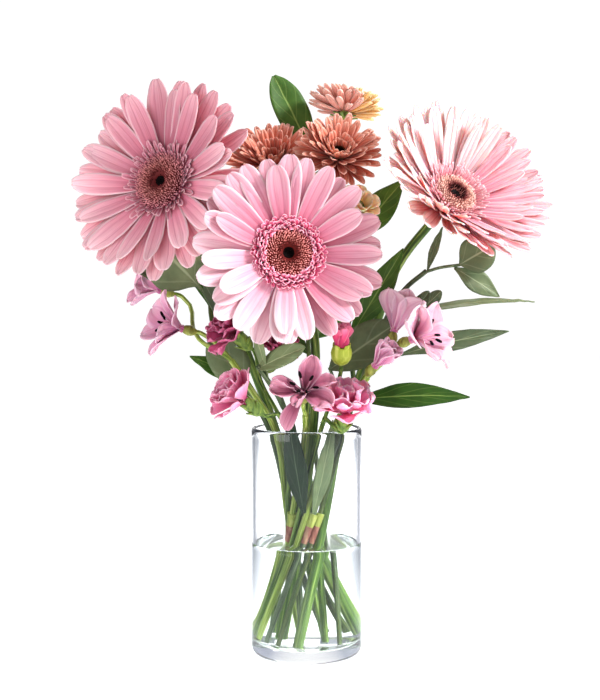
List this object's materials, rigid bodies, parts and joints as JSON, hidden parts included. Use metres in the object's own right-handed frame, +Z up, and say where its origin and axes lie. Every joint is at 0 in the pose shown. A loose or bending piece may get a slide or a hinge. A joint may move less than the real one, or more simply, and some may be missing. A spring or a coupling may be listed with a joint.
{
  "type": "gerberas in a vase",
  "caption": "Bouquet of large and small gerberas with alstroemeria, spray carnations, ruscus and eucalyptus, standing in a clear straight-sided glass cylinder partly filled with water.",
  "frame": {"origin": "middle of the vase's flat underside", "axes": "+Z up along the vase's axis, -Y towards the side that the blooms face, +X to the viewer's right"},
  "size_m": [0.3195, 0.1625, 0.407],
  "materials": {
    "clear_glass": "polished",
    "water": "gloss",
    "gerbera_front_rays": "matte",
    "gerbera_left_rays": "matte",
    "gerbera_right_rays": "matte",
    "gerbera_disc": "matte",
    "coral_petal": "matte",
    "coral_eye": "matte",
    "peach_petal": "matte",
    "mauve_tepal": "matte",
    "dark_stamen": "matte",
    "rose_petal": "matte",
    "green_stalk": "satin",
    "ruscus_leaf": "satin",
    "eucalyptus_leaf": "matte"
  },
  "bodies": {
    "root": {"alstroemeria_far_stamens": "dark_stamen", "alstroemeria_far_tepals": "mauve_tepal", "alstroemeria_front_stamens": "dark_stamen", "alstroemeria_front_stem": "green_stalk", "alstroemeria_front_tepals": "mauve_tepal", "alstroemeria_left_stamens": "dark_stamen", "alstroemeria_left_stem": "green_stalk", "alstroemeria_left_tepals": "mauve_tepal", "alstroemeria_low_tepals": "mauve_tepal", "alstroemeria_right_stamens": "dark_stamen", "alstroemeria_right_stem": "green_stalk", "alstroemeria_right_tepals": "mauve_tepal", "alstroemeria_upper_stamens": "dark_stamen", "alstroemeria_upper_tepals": "mauve_tepal", "bud_petals": "rose_petal", "carnation_left_petals": "rose_petal", "carnation_left_stem": "green_stalk", "carnation_middle_petals": "rose_petal", "carnation_middle_stem": "green_stalk", "carnation_right_petals": "rose_petal", "carnation_right_stem": "green_stalk", "carnation_upper_petals": "rose_petal", "coral_back_eye": "coral_eye", "coral_back_petals": "coral_petal", "coral_left_eye": "coral_eye", "coral_left_petals": "coral_petal", "coral_middle_eye": "coral_eye", "coral_middle_petals": "coral_petal", "coral_stem": "green_stalk", "eucalyptus_front_stem": "eucalyptus_leaf", "eucalyptus_left_stem": "eucalyptus_leaf", "eucalyptus_right_stem": "eucalyptus_leaf", "gerbera_front_disc": "gerbera_disc", "gerbera_front_rays": "gerbera_front_rays", "gerbera_front_stem": "green_stalk", "gerbera_left_disc": "gerbera_disc", "gerbera_left_rays": "gerbera_left_rays", "gerbera_left_stem": "green_stalk", "gerbera_right_disc": "gerbera_disc", "gerbera_right_rays": "gerbera_right_rays", "gerbera_right_stem": "green_stalk", "peach_petals": "peach_petal", "ruscus_back_stem": "ruscus_leaf", "ruscus_left_stem": "ruscus_leaf", "ruscus_right_stem": "ruscus_leaf", "vase": "clear_glass", "water": "water"}
  },
  "joints": []
}
